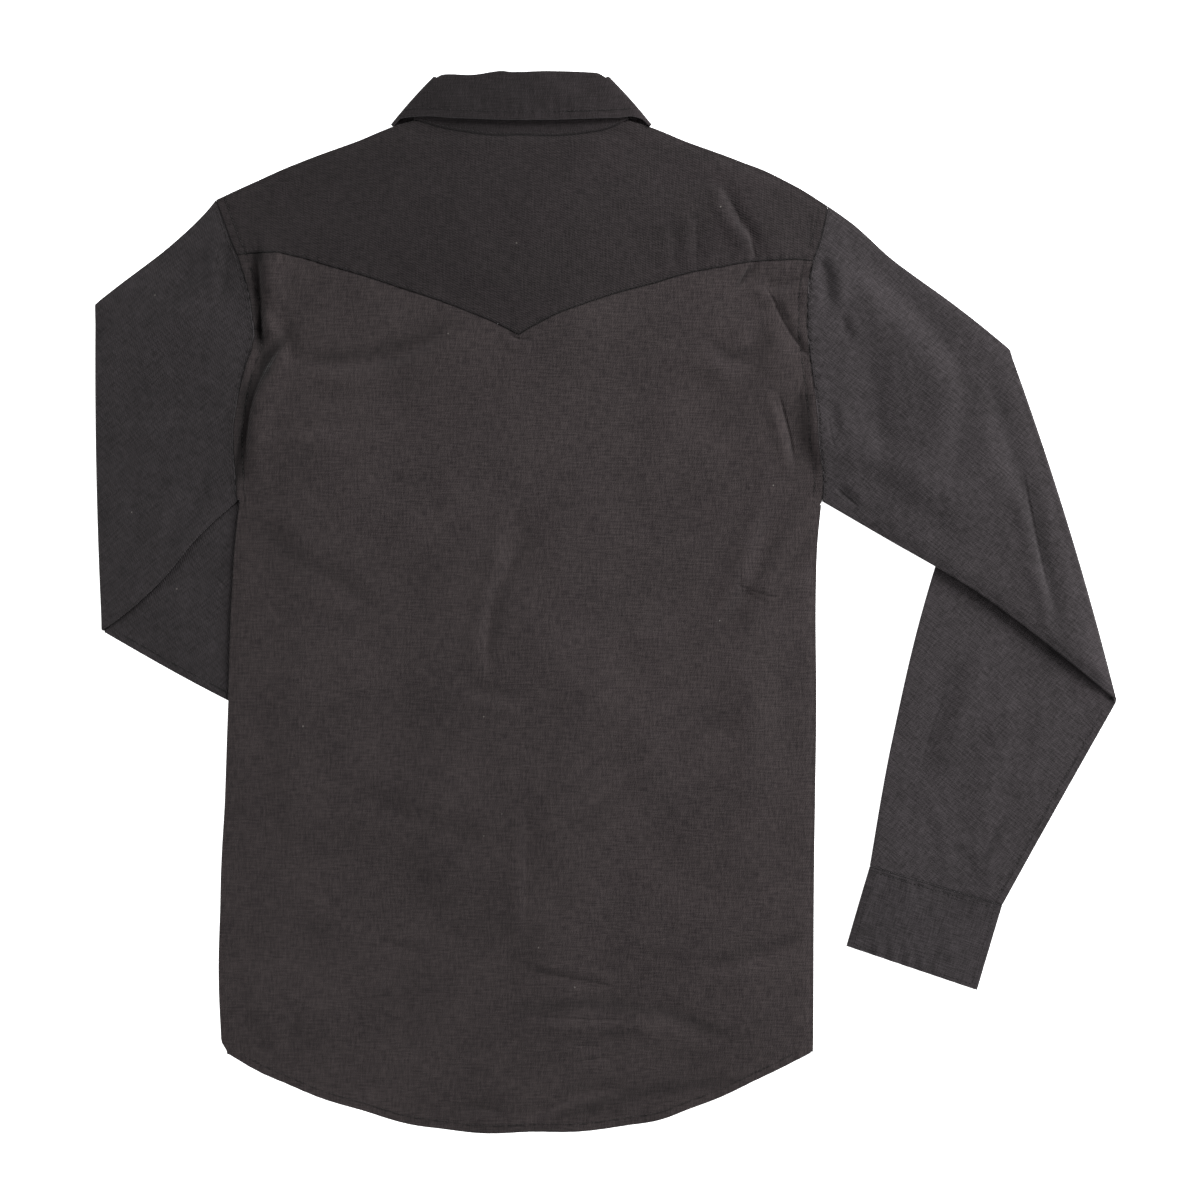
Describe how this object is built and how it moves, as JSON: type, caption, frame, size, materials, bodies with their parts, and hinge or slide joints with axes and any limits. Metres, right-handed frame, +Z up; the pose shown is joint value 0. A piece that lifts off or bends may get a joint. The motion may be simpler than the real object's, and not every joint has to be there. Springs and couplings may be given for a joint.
{
  "type": "western snap shirt",
  "caption": "Long-sleeved western snap shirt laid flat with its back up, with a pointed back yoke, a turned-down collar and folded sleeves.",
  "frame": {"origin": "on the surface the shirt lies on, under the centre of its outline's box", "axes": "+Z up out of the surface and through the shirt's back, +Y towards the collar, +X towards the wearer's right seen from behind, the sleeve that shows its cuff"},
  "size_m": [0.8092, 0.8398, 0.0151],
  "materials": {
    "twill": "matt washed cotton twill, charcoal",
    "snap_metal": "dark enamelled snap cap"
  },
  "bodies": {
    "root": {"back": "twill", "yoke": "twill", "front_left": "twill", "front_right": "twill", "placket": "twill", "sleeve_left": "twill", "sleeve_right": "twill", "cuff_left": "twill", "cuff_right": "twill", "collar_stand": "twill", "collar_leaf": "twill", "snap_neck": "snap_metal", "snap_front_1": "snap_metal", "snap_front_2": "snap_metal", "snap_front_3": "snap_metal", "snap_front_4": "snap_metal", "snap_front_5": "snap_metal", "snap_front_6": "snap_metal", "snap_cuff_left": "snap_metal", "snap_cuff_right": "snap_metal"}
  },
  "joints": []
}
